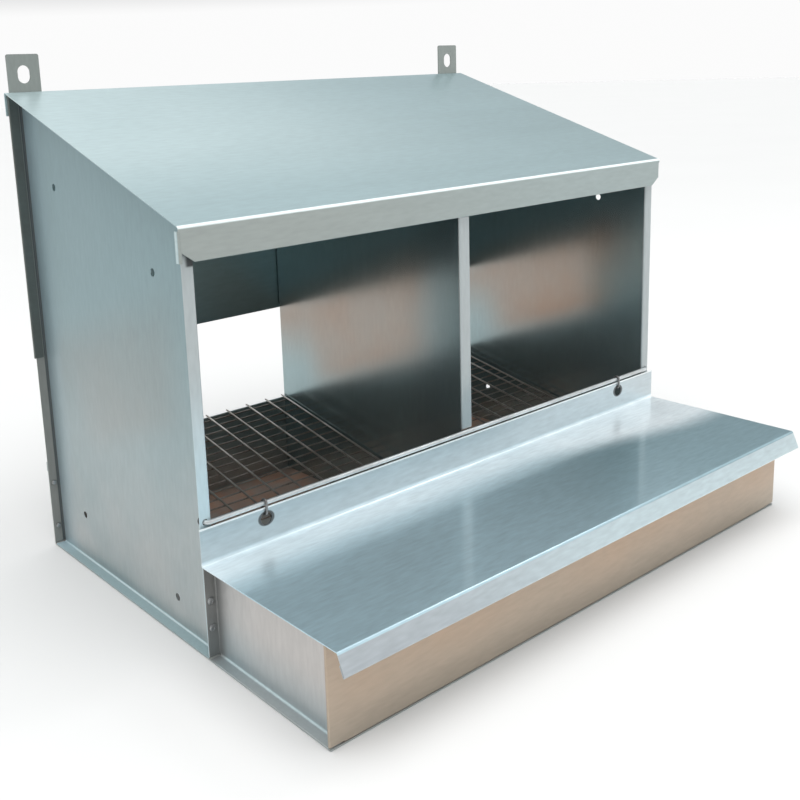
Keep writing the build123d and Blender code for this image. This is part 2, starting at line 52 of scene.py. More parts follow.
class Value:
    """One output of a material's nodes, for use in sums: +, - and * with numbers or other values, and abs(),
    add Math nodes. node() adds any other node from its type, its settings, which are set first, and its
    sockets' values or links."""

    def __init__(self, tree, socket=None):
        self.tree, self.socket = tree, socket

    def node(self, kind, settings, sockets, out=0):
        made = self.tree.nodes.new(kind)
        for key, setting in settings.items():
            if key == "stops":
                steps = made.color_ramp.elements
                while len(steps) < len(setting):
                    steps.new(0.5)
                for step, (spot, colour) in zip(steps, setting):
                    step.position, step.color = spot, (*colour, 1.0)
            else:
                setattr(made, key, setting)
        for key, value in sockets.items():
            if isinstance(value, Value):
                self.tree.links.new(value.socket, made.inputs[key])
            else:
                made.inputs[key].default_value = value
        return Value(self.tree, made.outputs[out] if made.outputs else None)

    def maths(self, operation, first, second=0.0):
        return self.node("ShaderNodeMath", {"operation": operation}, {0: first, 1: second})

    def __add__(self, other):
        return self.maths("ADD", self, other)

    def __sub__(self, other):
        return self.maths("SUBTRACT", self, other)

    def __rsub__(self, other):
        return self.maths("SUBTRACT", other, self)

    def __mul__(self, other):
        return self.maths("MULTIPLY", self, other)

    def __abs__(self):
        return self.maths("ABSOLUTE", self)

    __radd__, __rmul__ = __add__, __mul__

    def axis(self, letter):
        """One coordinate of this place: X, Y or Z."""
        return self.node("ShaderNodeSeparateXYZ", {}, {0: self}, out=letter)

    def rise(self, low, high):
        """0 below low, 1 above high, and a smooth step between; with low above high it falls."""
        steps = {0: self, 1: low, 2: high, 3: 0.0, 4: 1.0}
        return self.node("ShaderNodeMapRange", {"interpolation_type": "SMOOTHSTEP"}, steps)

    def stretched(self, along):
        """A place whose three coordinates are multiplied by the three numbers of along."""
        return self.node("ShaderNodeVectorMath", {"operation": "MULTIPLY"}, {0: self, 1: along})

    def cloud(self, scale, detail=2.0, rough=0.5):
        """Smooth noise from 0 to 1 at this place, with scale lumps to the metre."""
        noise = {"Vector": self, "Scale": scale, "Detail": detail, "Roughness": rough}
        return self.node("ShaderNodeTexNoise", {}, noise)

    def tint(self, low, high):
        """Colour that goes from low, where this value is 0, to high, where it is 1."""
        return self.node("ShaderNodeMix", {"data_type": "RGBA"}, {0: self, 6: low, 7: high}, out=2)

    def shaded(self, shade):
        """This colour, multiplied by shade."""
        multiply = {"data_type": "RGBA", "blend_type": "MULTIPLY"}
        return self.node("ShaderNodeMix", multiply, {0: 1.0, 6: self, 7: shade}, out=2)

    def relief(self):
        """The normals of a surface that this value, in metres, raises."""
        return self.node("ShaderNodeBump", {}, {"Strength": 1.0, "Distance": 1.0, "Height": self})


def new_material(name):
    """An empty material, with the place on the piece as a Value in metres."""
    material = bpy.data.materials.new(name)
    material.use_nodes = True
    material.node_tree.nodes.clear()
    place = Value(material.node_tree).node("ShaderNodeTexCoord", {}, {}, out="Object")
    return material, place


def finish_material(place, sockets):
    """Puts the finish on: one Principled shader with these values or links, as the surface."""
    shader = place.node("ShaderNodeBsdfPrincipled", {}, sockets)
    place.node("ShaderNodeOutputMaterial", {}, {"Surface": shader}, out=None)


def zinc_sheet(name, zinc, rolled, gloss=0.34, metal=0.75, films=(), coat=0.0, grained=0.55):
    """Galvanised sheet, part bright metal and part dull zinc bloom. Its tone is slow clouds, bands and hair
    lines drawn out along the rolling direction, added up around the middle tone. Each film is a cover from 0
    to 1 for a place, a colour, and what it takes off the metal and adds to the roughness. Over all lies the
    short grain of the zinc, about five times as long as wide, which shades colour and gloss. Slow noise bends
    the sheet by part of a millimetre."""
    material, place = new_material(name)
    slow = place.cloud(4.5, 3.0) - 0.5
    band = place.stretched(rolled).cloud(22.0, 2.0) - 0.5
    line = place.stretched(rolled).cloud(130.0, 1.0) - 0.5
    grain = place.stretched(tuple(max(0.22, share) for share in rolled)).cloud(330.0, 1.0) - 0.5
    tone = 0.5 + 0.55 * slow + 0.35 * band + 0.22 * line
    dark = tuple(0.84 * c for c in zinc) + (1.0,)
    pale = tuple(min(1.0, 1.16 * c) for c in zinc) + (1.0,)
    colour = tone.tint(dark, pale)
    roughness = gloss + 0.06 * slow + 0.04 * line + 0.03 * grained * grain
    metallic = metal + 0.10 * slow
    if films:
        axes = [place.axis(letter) for letter in "XYZ"]
    for cover, film_colour, less_metal, more_rough in films:
        film = cover(*axes, place)
        colour = (0.92 * film).tint(colour, film_colour + (1.0,))
        roughness = roughness + more_rough * film
        metallic = metallic - less_metal * film
    colour = colour.shaded(1.0 + 0.32 * grained * grain)
    height = 0.8 * mm * place.cloud(3.2, 1.0) + 0.08 * mm * place.cloud(14.0, 1.0)
    surface = {"Base Color": colour, "Roughness": roughness, "Metallic": metallic, "Normal": height.relief()}
    finish_material(place, {**surface, "Coat Weight": coat, "Coat Roughness": 0.09})
    return material


def wear(node, material):
    """Gives a CAD node this material in all its slots."""
    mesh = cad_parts[node].data
    mesh.materials.clear()
    mesh.materials.append(material)


def litter_dust(x, y, z, place):
    """Brown dust: thick on the flat floor to the rear and thin in front of it, none underneath, and a thin
    splash on the lower 60 mm of the upstand, broken up by noise."""
    flat = z.rise(0.5 * sheet, sheet) * z.rise(sheet + 0.6 * mm, sheet + 0.2 * mm)
    flat = flat * y.rise(upstand_face + 0.7 * mm, upstand_face - 0.1 * mm)
    splash = z.rise(1.6 * mm, 2.6 * mm) * z.rise(60 * mm, 2.6 * mm)
    patches = 0.45 + 0.5 * place.cloud(24.0, 4.0).rise(0.25, 0.62)
    return patches * (flat * (0.25 + 0.75 * y.rise(125 * mm, 175 * mm)) + 0.25 * splash)


along_x = (0.02, 1.0, 1.0)
dusty = (litter_dust, (0.52, 0.275, 0.175), 0.75, 0.40)
wear("base_panel", zinc_sheet("dusty_base", (0.44, 0.50, 0.50), along_x, films=[dusty]))

# Side panels: pan-shaped galvanised sheets with all four edges flanged outward, drilled so that nests can be
# bolted side by side. Outside the zinc is duller and painted darker as shade, more so towards the top. Inside
# it is bright, with a painted warm reflection in a band at the hens' height.
side_low, side_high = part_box("right_side_panel")
wall_in, flange_out = side_low.x, side_high.x
wall_out = wall_in + sheet
front_face, rear_face = side_low.y, side_high.y
roof_low, roof_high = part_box("roof_panel")


def outside(x):
    """1 beyond the inner faces of the two walls, 0 between them."""
    return abs(x).rise(wall_in + 0.1 * mm, wall_in + 0.5 * mm)


def flanged(x):
    """1 on the flanges, past the bends at the two walls, 0 on the walls."""
    return abs(x).rise(wall_out + 1.6 * mm, wall_out + 2.4 * mm)


def left_half(x):
    """1 on the left half of the nest, 0 on the right half."""
    return x.rise(50 * mm, -50 * mm)


def dull_shaded_outside(x, y, z, place):
    """Duller zinc and painted shade outside the inner faces of the two walls, fuller towards the top, none
    inside.
    """
    cloudy = 0.80 + 0.22 * z.rise(200 * mm, 380 * mm) + 0.3 * (place.cloud(6.0) - 0.5)
    return outside(x) * cloudy


def warm_reflection_band(x, y, z, place):
    """A painted warm reflection: a soft band from 110 to 215 mm over the ground at the rear, which rises by
    35 % towards the front and fades out at the openings and in the lower rear corner, broken up by clouds of
    noise."""
    level = z + 0.35 * (y - 190 * mm)
    band = level.rise(90 * mm, 130 * mm) * level.rise(245 * mm, 190 * mm)
    corner = y.rise(110 * mm, 195 * mm) * z.rise(215 * mm, 120 * mm)
    clouds = 0.60 + 0.40 * place.cloud(7.0, 4.0).rise(0.25, 0.75)
    return band * (1.0 - corner) * y.rise(front_face + 2.3 * mm, front_face + 73.3 * mm) * clouds


def low_reflection_light(x, y, z, place):
    """Painted light: a pale tone outside that grows from 280 mm down to the lower flange, ragged with noise.
    """
    ragged = 0.45 + 0.5 * place.cloud(8.0, 4.0, 0.55).rise(0.25, 0.75)
    return outside(x) * z.rise(2.2 * mm, 4 * mm) * z.rise(280 * mm, 0.0) * ragged


def lower_flange(x, y, z, place):
    """Full cover on the lower flange outside, none on the wall."""
    return flanged(x) * z.rise(3 * mm, 2 * mm)


def fold_highlight_line(x, y, z, place):
    """A painted highlight: a pale line where the wall turns into the lower flange."""
    bend = abs(x).rise(wall_out - 0.3 * mm, wall_out + 0.1 * mm)
    return bend * abs(x).rise(wall_out + 2 * mm, wall_out + 1.2 * mm) * z.rise(3.4 * mm, 2.5 * mm)


def front_edge(x, y, z, place):
    """Full cover on the flanges' front faces, none behind them."""
    return y.rise(front_face + 2.3 * mm, front_face + 1.5 * mm)


def flange_foot_light(x, y, z, place):
    """Painted light: the lower part of the left flange's front face, made brightest."""
    return front_edge(x, y, z, place) * z.rise(260 * mm, 130 * mm) * left_half(x)


def fascia_shadow_patch(x, y, z, place):
    """Painted shadow: dark on the left flange's front face, in its inner corner behind the roof's fascia."""
    head = z.rise(roof_low.z - 5 * mm, roof_low.z - 3 * mm)
    inner = x.rise(2.5 * mm - flange_out, 6 * mm - flange_out)
    return front_edge(x, y, z, place) * head * inner * left_half(x)


def rear_wall_light(x, y, z, place):
    """Painted light: a pale bluish tone outside on the rear 50 mm of the wall, uneven with noise."""
    near = y.rise(rear_face - 46.7 * mm, rear_face - 5.7 * mm)
    return outside(x) * near * (0.45 + 0.5 * place.cloud(10.0, 3.0))


def rear_flange_shade(x, y, z, place):
    """Painted shade: a darker warm grey, full on the rear flange outside, none on the wall."""
    return flanged(x) * y.rise(rear_face - 2.5 * mm, rear_face - 1.5 * mm)


def rear_corner_shadow(x, y, z, place):
    """Painted shadow: dark in the corner where the wall turns into the rear flange."""
    bend = abs(x).rise(wall_out - 0.3 * mm, wall_out) * abs(x).rise(wall_out + 2.6 * mm, wall_out + 1.8 * mm)
    return bend * y.rise(rear_face - 3.2 * mm, rear_face - 2.4 * mm)


along_z = (1.0, 1.0, 0.02)
# Painted warm reflection in a band inside the walls and on the divider.
painted_warm_reflection = (warm_reflection_band, (0.40, 0.265, 0.19), 0.0, 0.02)
# Duller zinc outside the walls, darkened as painted shade, more towards the top.
dull_painted_shade = (dull_shaded_outside, (0.225, 0.322, 0.345), 0.21, 0.16)
painted_low_light = (low_reflection_light, (0.52, 0.53, 0.52), 0.05, 0.05)
flange_film = (lower_flange, (0.31, 0.41, 0.43), 0.35, 0.05)
# Painted highlight along the lower bend of the walls and the tray sides.
painted_fold_highlight = (fold_highlight_line, (0.54, 0.64, 0.66), 0.40, 0.05)
painted_rear_light = (rear_wall_light, (0.40, 0.52, 0.57), 0.05, 0.0)
painted_rear_flange_shade = (rear_flange_shade, (0.27, 0.265, 0.245), 0.30, 0.05)
painted_corner_shadow = (rear_corner_shadow, (0.045, 0.05, 0.05), 0.60, 0.20)
# Painted light: a paler tone on the flanges' front faces, on the walls and the divider.
painted_front_light = (front_edge, (0.44, 0.475, 0.48), 0.25, 0.0)
painted_flange_light = (flange_foot_light, (0.56, 0.70, 0.75), 0.0, 0.0)
painted_fascia_shadow = (fascia_shadow_patch, (0.02, 0.022, 0.024), 0.70, 0.25)
side_films = [painted_warm_reflection, dull_painted_shade, painted_low_light, flange_film, painted_fold_highlight, painted_rear_light, painted_rear_flange_shade, painted_corner_shadow]
side_films += [painted_front_light, painted_flange_light, painted_fascia_shadow]
side_finish = zinc_sheet("side_sheet", (0.36, 0.46, 0.475), along_z, gloss=0.20, metal=0.81, films=side_films)
wear("left_side_panel", side_finish)
wear("right_side_panel", side_finish)

# Divider panel: a bright galvanised sheet between the two places, its front and rear edges flanged to the
# right. The rear flange is riveted to the back panel and the base.


def front_shade_cloud(x, y, z, place):
    """Painted shade: a dark tone that grows over the front 90 mm of the sheet, in clouds."""
    near = y.rise(front_face + 93.3 * mm, front_face + 13.3 * mm)
    return near * (0.6 + 0.4 * place.cloud(9.0, 3.0))


painted_front_shade = (front_shade_cloud, (0.19, 0.235, 0.24), 0.0, 0.0)
divider_films = [painted_warm_reflection, painted_front_shade, painted_front_light]
divider_finish = zinc_sheet(
    "divider_sheet", (0.345, 0.445, 0.46), along_z, gloss=0.21, metal=0.83, films=divider_films
)
wear("divider_panel", divider_finish)

# Back panel: a galvanised sheet behind the upper half, whose ends are folded round the rear flanges of the
# sides. Its zinc is painted dark and even as shade; the folded ends have a darker warm grey, also painted
# shade.


def folded_end_shade(x, y, z, place):
    """Painted shade: full cover on the ends, outside the side walls, none between them, cloudy with noise."""
    return abs(x).rise(wall_out, wall_out + sheet) * (0.75 + 0.4 * place.cloud(30.0, 3.0))


painted_back_end_shade = (folded_end_shade, (0.115, 0.122, 0.112), 0.25, 0.05)
shaded_back_finish = zinc_sheet(
    "shaded_back_sheet", (0.165, 0.235, 0.245), along_x, gloss=0.35, metal=0.8, films=[painted_back_end_shade]
)
wear("back_panel", shaded_back_finish)

# Roof panel: one galvanised sheet that slopes to the front, with a fascia folded down at the front, its ends
# turned back, and a narrow flange at the rear. Painted reflection lightens the slope to the rear and left,
# painted shade darkens the fascia, and a painted highlight runs along the fold over the fascia and its ends.
fascia_face = roof_low.y
fascia_height = 27.5 * mm
fold_top = roof_low.z + fascia_height


def below_fold(z):
    """1 on the fascia and its turned-back ends, 0 on the fold over them and above it."""
    return z.rise(fold_top - 0.8 * mm, fold_top - 2 * mm)


def fascia_face_shade(x, y, z, place):
    """Painted shade: a darker warm grey on the fascia's front face, below the fold, which thins out towards
    the right.
    """
    front = y.rise(fascia_face + 2.6 * mm, fascia_face + 1.6 * mm)
    return front * below_fold(z) * (0.95 - 0.30 * x.rise(-250 * mm, 200 * mm))


def bend_highlight(x, y, z, place):
    """Painted highlight: full cover on the fold over the fascia, a thinner one on the rear half of the
    turned-back ends, none on the flats."""
    fold = y.rise(fascia_face + 2.8 * mm, fascia_face + 1.2 * mm) * (1.0 - below_fold(z))
    ends = abs(x).rise(roof_high.x - 1 * mm, roof_high.x - 0.3 * mm) * below_fold(z)
    return fold + 0.25 * ends * y.rise(fascia_face + 2.8 * mm, fascia_face + 3.6 * mm)


def slope_reflection(x, y, z, place):
    """Painted reflection: a pale tone on the slope that grows towards the rear and the left, cloudy with
    noise.
    """
    corner = y.rise(fascia_face + 4.6 * mm, 100 * mm) * x.rise(200 * mm, -250 * mm)
    return 0.95 * corner * (0.75 + 0.5 * place.cloud(6.0, 3.0))


painted_slope_reflection = (slope_reflection, (0.58, 0.70, 0.71), 0.05, 0.02)
painted_fascia_face_shade = (fascia_face_shade, (0.335, 0.355, 0.335), 0.0, 0.04)
painted_bend_highlight = (bend_highlight, (0.86, 0.92, 0.91), 0.45, 0.05)
roof_films = [painted_slope_reflection, painted_fascia_face_shade, painted_bend_highlight]
roof_finish = zinc_sheet(
    "roof_sheet", (0.415, 0.535, 0.555), along_x, gloss=0.33, metal=0.72, films=roof_films
)
wear("roof_panel", roof_finish)

# Hanger plates: thick galvanised plates with an upright slot, riveted behind the roof's rear flange. The cut
# plate is duller and darker than the sheet.
hanger_finish = zinc_sheet("hanger_plate", (0.285, 0.315, 0.30), along_z, gloss=0.42, metal=0.8)
wear("hanger_left", hanger_finish)
wear("hanger_right", hanger_finish)

# Tray sides and tray front: galvanised sheets that stand on the base in front of the body. The sides are
# flanged outward and riveted to the side panels, the front's ends are folded round them.


def tray_corner_shade(x, y, z, place):
    """Painted shade: dark grey in the corner at the rear flange, full on the flange and gone 12 mm in front
    of it.
    """
    corner = y.rise(front_face - 13.7 * mm, front_face - 1.7 * mm)
    return corner * (0.75 + 0.25 * place.cloud(40.0, 3.0))


def cool_foot_reflection(x, y, z, place):
    """Painted reflection: a bluish tone that grows towards the foot and towards the rear corner."""
    return 0.75 * z.rise(50 * mm, 4 * mm) + 0.25 * y.rise(front_face - 66.7 * mm, front_face - 11.7 * mm)


def warm_tray_reflection(x, y, z, place):
    """Painted warm reflection, thinner at the foot of the tray, cloudy with noise."""
    return z.rise(0.0, 50 * mm) * (0.35 + 0.40 * place.cloud(9.0, 4.0, 0.55).rise(0.30, 0.72))


painted_cool_foot = (cool_foot_reflection, (0.43, 0.50, 0.52), 0.0, 0.02)
painted_tray_corner_shade = (tray_corner_shade, (0.20, 0.205, 0.20), 0.25, 0.15)
tray_films = [painted_cool_foot, painted_fold_highlight, painted_tray_corner_shade]
# Painted reflection: the tray sides' warm tone, cooler towards the foot.
tray_side_finish = zinc_sheet("tray_side_sheet", (0.60, 0.575, 0.555), along_z, metal=0.65, films=tray_films)
wear("tray_side_left", tray_side_finish)
wear("tray_side_right", tray_side_finish)
painted_tray_warmth = (warm_tray_reflection, (0.54, 0.38, 0.27), 0.10, 0.05)
# Painted warm reflection: the tray front's warm brown base colour and its film.
wear("tray_front_panel", zinc_sheet("tray_front_sheet", (0.45, 0.39, 0.32), along_x, films=[painted_tray_warmth]))

# Mesh floors: two mats of galvanised wire, round lengthwise wires welded on top of thinner cross wires. They
# lie loose, sloping from the rear upstand down to the tray. The wire is browner towards the front of the
# mats.
thick, thin = 2.2 * mm, 1.6 * mm
first_wire, pitch = 24.2 * mm, 26.8 * mm
rows, foot_room, head_room = 35, 12 * mm, 10 * mm
tray_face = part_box("tray_front_panel")[0].y
mat_room = 0.15 * mm
mat_foot = np.array([tray_face + sheet + 5 * mm, 2 * sheet + mat_room])
mat_head = np.array([upstand_face + 0.5 * hem, base_high.z + mat_room])


def drawn_wire(name, zinc, tarnish, share, browned=None):
    """Galvanised wire: zinc mixed with a darker tarnish by lumps of noise, up to share, with a fine drawn
    grain. In front of the place browned along Y the tarnish covers more than half of it everywhere."""
    material, place = new_material(name)
    stain = place.cloud(38.0, 4.0, 0.6).rise(0.30, 0.70) * share
    if browned is not None:
        front = place.axis("Y").rise(browned + 20 * mm, browned - 20 * mm)
        stain = stain * (1.0 - front) + front * (0.55 + 0.45 * stain)
    grain = place.cloud(1500.0, 2.0)
    colour = (stain + 0.12 * (grain - 0.5)).tint(zinc, tarnish)
    rough = 0.30 + 0.30 * stain + 0.12 * (grain - 0.5)
    normal = (0.006 * mm * grain).relief()
    surface = {"Base Color": colour, "Roughness": rough, "Metallic": 1.0 - 0.5 * stain, "Normal": normal}
    finish_material(place, surface)
    return material


def bars(paths, radii, out, across):
    """Round bars along paths, an array of bars x points x 3. Each point carries a circle of its radius,
    turned from the direction out to the direction across, so that out x across runs along the path. A pole
    closes each end. Gives the vertices, the four-cornered faces and the triangles."""
    count, points, _ = paths.shape
    sides = 12
    angle = 2 * np.pi * np.arange(sides) / sides
    spokes = np.cos(angle)[:, None] * np.asarray(out) + np.sin(angle)[:, None] * np.asarray(across)
    rings = paths[:, :, None, :] + np.asarray(radii)[None, :, None, None] * spokes[None, None]
    poles = paths[:, [0, -1], :]
    vertices = np.concatenate([rings.reshape(count, -1, 3), poles], axis=1)
    first = np.arange(points * sides).reshape(points, sides)
    after = np.roll(first, -1, axis=1)
    quads = np.stack([first[:-1], after[:-1], after[1:], first[1:]], axis=-1).reshape(-1, 4)
    low, high = points * sides, points * sides + 1
    start = np.stack([np.full(sides, low), after[0], first[0]], axis=-1)
    end = np.stack([np.full(sides, high), first[-1], after[-1]], axis=-1)
    step = (points * sides + 2) * np.arange(count)[:, None, None]
    triangles = np.concatenate([start, end]) + step
    return vertices.reshape(-1, 3), (quads + step).reshape(-1, 4), triangles.reshape(-1, 3)


def new_piece(name, parts):
    """One object at the origin from a list of (vertices, quads, triangles, material), shaded smooth."""
    vertices, faces, slots, done = [], [], [], 0
    mesh = bpy.data.meshes.new(name)
    for slot, (places, quads, triangles, material) in enumerate(parts):
        vertices.append(places)
        faces += (quads + done).tolist() + (triangles + done).tolist()
        slots += [slot] * (len(quads) + len(triangles))
        done += len(places)
        mesh.materials.append(material)
    mesh.from_pydata(np.concatenate(vertices).tolist(), [], faces)
    mesh.polygons.foreach_set("material_index", slots)
    mesh.polygons.foreach_set("use_smooth", np.ones(len(faces), bool))
    piece = bpy.data.objects.new(name, mesh)
    bpy.context.scene.collection.objects.link(piece)
    return piece


def wire_floor(name, inner_x, outer_x):
    """A welded mat in a sloping plane. A point of the plane is mat_foot + s * slope, with s the way up the
    slope. Lengthwise wires run along s at even steps across and sway by a sine of s. Cross wires run along X
    under them at even steps of s, and wave up and down by a sine of X."""
    points, weld, inset = 46, 0.1 * mm, 0.2 * mm
    shares = np.linspace(0.0, 1.0, points)
    ends = np.ones(points)
    ends[[0, -1]] = 0.8
    run = np.hypot(*(mat_head - mat_foot))
    along = (mat_head - mat_foot) / run
    slope, face = np.array([0.0, *along]), np.array([0.0, -along[1], along[0]])
    base = np.array([0.0, *mat_foot])
    width = abs(outer_x - inner_x)
    side = np.sign(outer_x - inner_x)
    inner_wires = np.arange(first_wire, width - 0.6 * pitch, pitch)
    places = np.concatenate([[thick / 2], inner_wires, [width - thick / 2]])
    sway = 0.3 * mm * np.sin(7.0 * shares[None] + 5.3 * np.arange(len(places))[:, None])
    paths = base + (shares * run)[None, :, None] * slope + (thin + thick / 2 - weld) * face
    paths = np.repeat(paths, len(places), axis=0)
    paths[:, :, 0] += inner_x + side * places[:, None] + sway * (np.sin(np.pi * shares) ** 0.5)[None]
    lengthwise = bars(paths, 0.5 * thick * ends, face, (1.0, 0.0, 0.0))
    steps = np.linspace(foot_room, run - head_room, rows)
    left, right = min(inner_x, outer_x) + inset, max(inner_x, outer_x) - inset
    wave = 0.06 * mm * np.sin(23.0 * shares[None] + 1.7 * np.arange(rows)[:, None])
    paths = base + steps[:, None, None] * slope + (thin / 2 + weld + wave[:, :, None]) * face
    paths[:, :, 0] = left + shares * (right - left)
    crosswise = bars(paths, 0.5 * thin * ends, face, np.cross((1.0, 0.0, 0.0), face))
    piece = new_piece(name, [(*lengthwise, top_wire), (*crosswise, cross_wire)])
    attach(piece, "nest")
    return piece


brown_wire_line = 72 * mm
top_wire = drawn_wire("top_wire", (0.70, 0.67, 0.63, 1.0), (0.15, 0.115, 0.09, 1.0), 0.55, brown_wire_line)
cross_wire = drawn_wire("cross_wire", (0.46, 0.43, 0.40, 1.0), (0.16, 0.11, 0.08, 1.0), 0.75, brown_wire_line)
mat_low, mat_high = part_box("floor_mesh_left")
left_mat = wire_floor("wire_floor_left", mat_high.x, mat_low.x)
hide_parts("floor_mesh_left")
mat_low, mat_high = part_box("floor_mesh_right")
right_mat = wire_floor("wire_floor_right", mat_low.x, mat_high.x)
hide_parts("floor_mesh_right")

# Hinge rod: a bright galvanised wire along the sill, its ends bent back through the front flanges of the side
# panels and held by black push-on caps.
rod_wire = drawn_wire("rod_wire", (0.78, 0.82, 0.83, 1.0), (0.36, 0.36, 0.35, 1.0), 0.45)
wear("hinge_rod", rod_wire)


def moulded_cap(name):
    """Black soft plastic: nearly even, with a fine moulded grain in relief and a little grey dust, which
    dulls it."""
    material, place = new_material(name)
    grain = place.cloud(2200.0, 2.0)
    dust = place.cloud(160.0, 3.0).rise(0.45, 0.75) * 0.5
    colour = dust.tint((0.012, 0.012, 0.013, 1.0), (0.06, 0.057, 0.052, 1.0))
    normal = (0.01 * mm * grain).relief()
    finish_material(place, {"Base Color": colour, "Roughness": 0.45 + 0.25 * dust, "Normal": normal})
    return material


wear("rod_caps", moulded_cap("black_cap"))

# Tray cover with its rings: a galvanised lid with a rear upstand and a slanted front lip. Two wire rings
# through holes in the upstand hang it on the rod.
cover_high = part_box("tray_cover")[1]
upstand_height = 30.8 * mm
lid_top = cover_high.z - upstand_height
ring_low, ring_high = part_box("hinge_ring_right")
ring_x = 0.5 * (ring_low.x + ring_high.x)
ring_hole_z = cover_high.z - 9.6 * mm


def lid_face(x, y, z, place):
    """Full cover on the flat of the lid, none on the upstand and the lip."""
    return z.rise(lid_top + 4.5 * mm, lid_top + 1 * mm) * z.rise(lid_top - 2.5 * mm, lid_top - 1.3 * mm)


def lid_end_shade(x, y, z, place):
    """Painted shade: a darker tone of the lid's flat that grows towards its right end."""
    return lid_face(x, y, z, place) * x.rise(-120 * mm, 200 * mm)


def upstand_reflection(x, y, z, place):
    """Painted reflection of the upstand: a pale band on the flat along its foot, about 40 mm wide at the left
    and twice that at the right, ragged with noise."""
    widened = y + 45 * mm * x.rise(20 * mm, 280 * mm)
    near = widened.rise(cover_high.y - 56.6 * mm, cover_high.y - 16.6 * mm)
    ragged = (0.65 + 0.35 * place.cloud(16.0, 3.0)) * (0.95 + 0.25 * x.rise(0.0, 200 * mm))
    return lid_face(x, y, z, place) * near * ragged


def lip_face(x, y, z, place):
    """Full cover on the slanted lip, none above it."""
    return z.rise(lid_top - 1.3 * mm, lid_top - 2.3 * mm)


def lip_end_light(x, y, z, place):
    """Painted light: a paler tone of the lip that grows towards its right end."""
    return lip_face(x, y, z, place) * x.rise(-280 * mm, 50 * mm)


def edge_highlight(x, y, z, place):
    """Painted highlight: a pale line on the top edge of the upstand."""
    return z.rise(cover_high.z - 1.7 * mm, cover_high.z - 0.9 * mm)


def ring_hole_shade(x, y, z, place):
    """Painted shade: dark on the upstand in an oval round each ring hole, 16 mm wide and 13 mm high."""
    across = (abs(x) - ring_x) * (1 / (8 * mm))
    upward = (z - ring_hole_z) * (1 / (6.4 * mm))
    on_upstand = y.rise(cover_high.y - 2.6 * mm, cover_high.y - 1.6 * mm)
    return (across * across + upward * upward).rise(1.2, 0.85) * on_upstand


# Painted light: a pale blue tint on the lid's flat.
painted_sky_tint = (lid_face, (0.54, 0.73, 0.81), 0.0, 0.0)
painted_lid_end_shade = (lid_end_shade, (0.31, 0.47, 0.525), 0.0, 0.0)
painted_upstand_reflection = (upstand_reflection, (0.90, 0.97, 1.0), 0.24, 0.04)
# Painted shade: a darker tone on the slanted lip.
painted_lip_shade = (lip_face, (0.45, 0.49, 0.52), 0.0, 0.02)
painted_lip_light = (lip_end_light, (0.64, 0.765, 0.80), 0.0, 0.0)
painted_edge_highlight = (edge_highlight, (0.93, 0.97, 0.97), 0.40, 0.02)
painted_ring_shade = (ring_hole_shade, (0.02, 0.022, 0.024), 0.70, 0.25)
cover_films = [painted_sky_tint, painted_lid_end_shade, painted_upstand_reflection, painted_lip_shade, painted_lip_light, painted_edge_highlight, painted_ring_shade]
cover_finish = zinc_sheet(
    "cover_sheet", (0.51, 0.585, 0.615), along_x,
    gloss=0.31, metal=0.72, films=cover_films, coat=1.0, grained=0.9,
)
wear("tray_cover", cover_finish)
ring_wire = drawn_wire("ring_wire", (0.40, 0.40, 0.40, 1.0), (0.10, 0.08, 0.07, 1.0), 0.7)
wear("hinge_ring_left", ring_wire)
wear("hinge_ring_right", ring_wire)

# Rivets: aluminium blind rivets, set from outside. Each has a domed head with the broken pin sunk in its
# middle, and a swollen tail behind the sheets.
rivet_x = flange_out - 4.5 * mm
tray_heights = (27.6 * mm, 51 * mm)
base_heights = (20 * mm, 66 * mm)
divider_rivet_x = 4 * mm
back_low, back_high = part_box("back_panel")
back_heights = np.linspace(back_low.z + 25 * mm, back_high.z - 25 * mm, 3)
hanger_low, hanger_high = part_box("hanger_right")
hanger_outer = hanger_high.x - 13.5 * mm
hanger_inner = hanger_outer - 12 * mm
hanger_rivet_z = hanger_low.z + 12 * mm


def rivet_metal(name):
    """Aluminium with fine dull spots, darker and rougher where the noise is low."""
    material, place = new_material(name)
    dull = place.cloud(420.0, 3.0, 0.6)
    colour = dull.tint((0.26, 0.265, 0.27, 1.0), (0.56, 0.57, 0.58, 1.0))
    rough = 0.50 - 0.25 * dull
    normal = (0.02 * mm * dull).relief()
    finish_material(place, {"Base Color": colour, "Roughness": rough, "Metallic": 1.0, "Normal": normal})
    return material


def rivet_row(name, node, places, face_y, side, grip):
    """Rivets along Y at (X, Z) places, heads on face_y towards side. The profile is a radius for each height
    over that face, in millimetres: swollen tail, shank, flat under the head, dome as a quarter of an
    ellipse, and the sunk pin; bars() carries circles along it."""
    quarter = np.linspace(0.0, np.pi / 2, 7)
    tail_heights, tail_radii = np.array([1.8, 1.7, 1.0, 0.3, 0.0]), [1.2, 2.0, 2.5, 2.4, 1.6]
    flat_heights, flat_radii = [0.0, 0.0], [1.6, 3.1]
    dome_heights, dome_radii = 0.15 + 1.05 * np.sin(quarter), 3.2 - 2.1 * (1 - np.cos(quarter))
    pin_heights, pin_radii = [1.1, 0.6, 0.5, 0.7, 0.75], [1.0, 0.95, 0.8, 0.7, 0.4]
    heights = mm * np.concatenate([-grip / mm - tail_heights, flat_heights, dome_heights, pin_heights])
    radii = mm * np.concatenate([tail_radii, flat_radii, dome_radii, pin_radii])
    paths = np.zeros((len(places), len(heights), 3))
    paths[:, :, 0] = np.array(places)[:, :1]
    paths[:, :, 1] = face_y + side * heights[None]
    paths[:, :, 2] = np.array(places)[:, 1:]
    turn = ((1.0, 0.0, 0.0), (0.0, 0.0, 1.0)) if side < 0 else ((0.0, 0.0, 1.0), (1.0, 0.0, 0.0))
    piece = new_piece(name, [(*bars(paths, radii, *turn), rivet_finish)])
    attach(piece, "nest")
    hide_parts(node)


